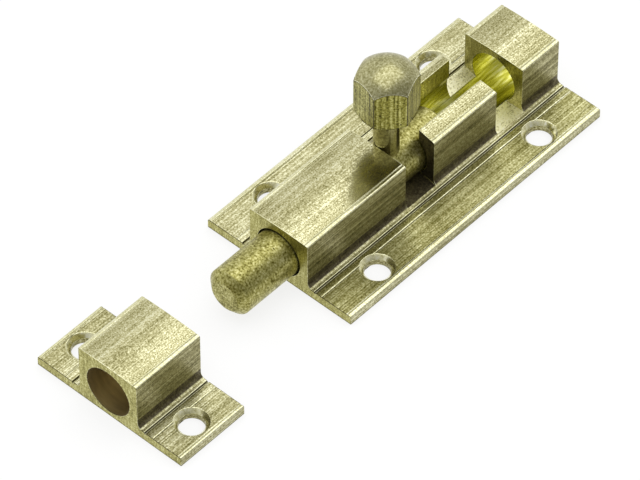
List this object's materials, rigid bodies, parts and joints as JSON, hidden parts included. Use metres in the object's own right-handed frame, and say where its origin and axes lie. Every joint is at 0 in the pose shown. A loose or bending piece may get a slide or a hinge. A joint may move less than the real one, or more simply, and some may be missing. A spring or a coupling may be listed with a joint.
{
  "type": "sliding bolt lock",
  "caption": "Solid brass surface barrel bolt: an extruded base with a bored housing, a round bolt turned by a domed six-sided knob, and a separate keeper.",
  "frame": {"origin": "centre of the base plate's back face, the face that lies on the door", "axes": "+X along the bolt towards its tail, so that retracting moves it along +X; -Y the near side, where the knob turns down; +Z out of the door"},
  "size_m": [0.0823, 0.0254, 0.0237],
  "materials": {
    "extruded_brass": "satin, drawn lengthwise",
    "turned_brass": "satin, as drawn bar"
  },
  "bodies": {
    "housing": {"base_housing": "extruded_brass", "keeper": "extruded_brass"},
    "bolt": {"sliding_bolt": "turned_brass"},
    "knob": {"knob_stem": "turned_brass", "knob": "turned_brass"}
  },
  "joints": [
    {"name": "bolt_slide", "type": "slide", "parent": "housing", "child": "bolt", "axis": [1, 0, 0], "range_m": [0, 0.0197]},
    {"name": "knob_turn", "type": "hinge", "parent": "bolt", "child": "knob", "pos_m": [-0.00395, 0, 0.0046], "axis": [1, 0, 0], "range_deg": [-82, 82]}
  ]
}
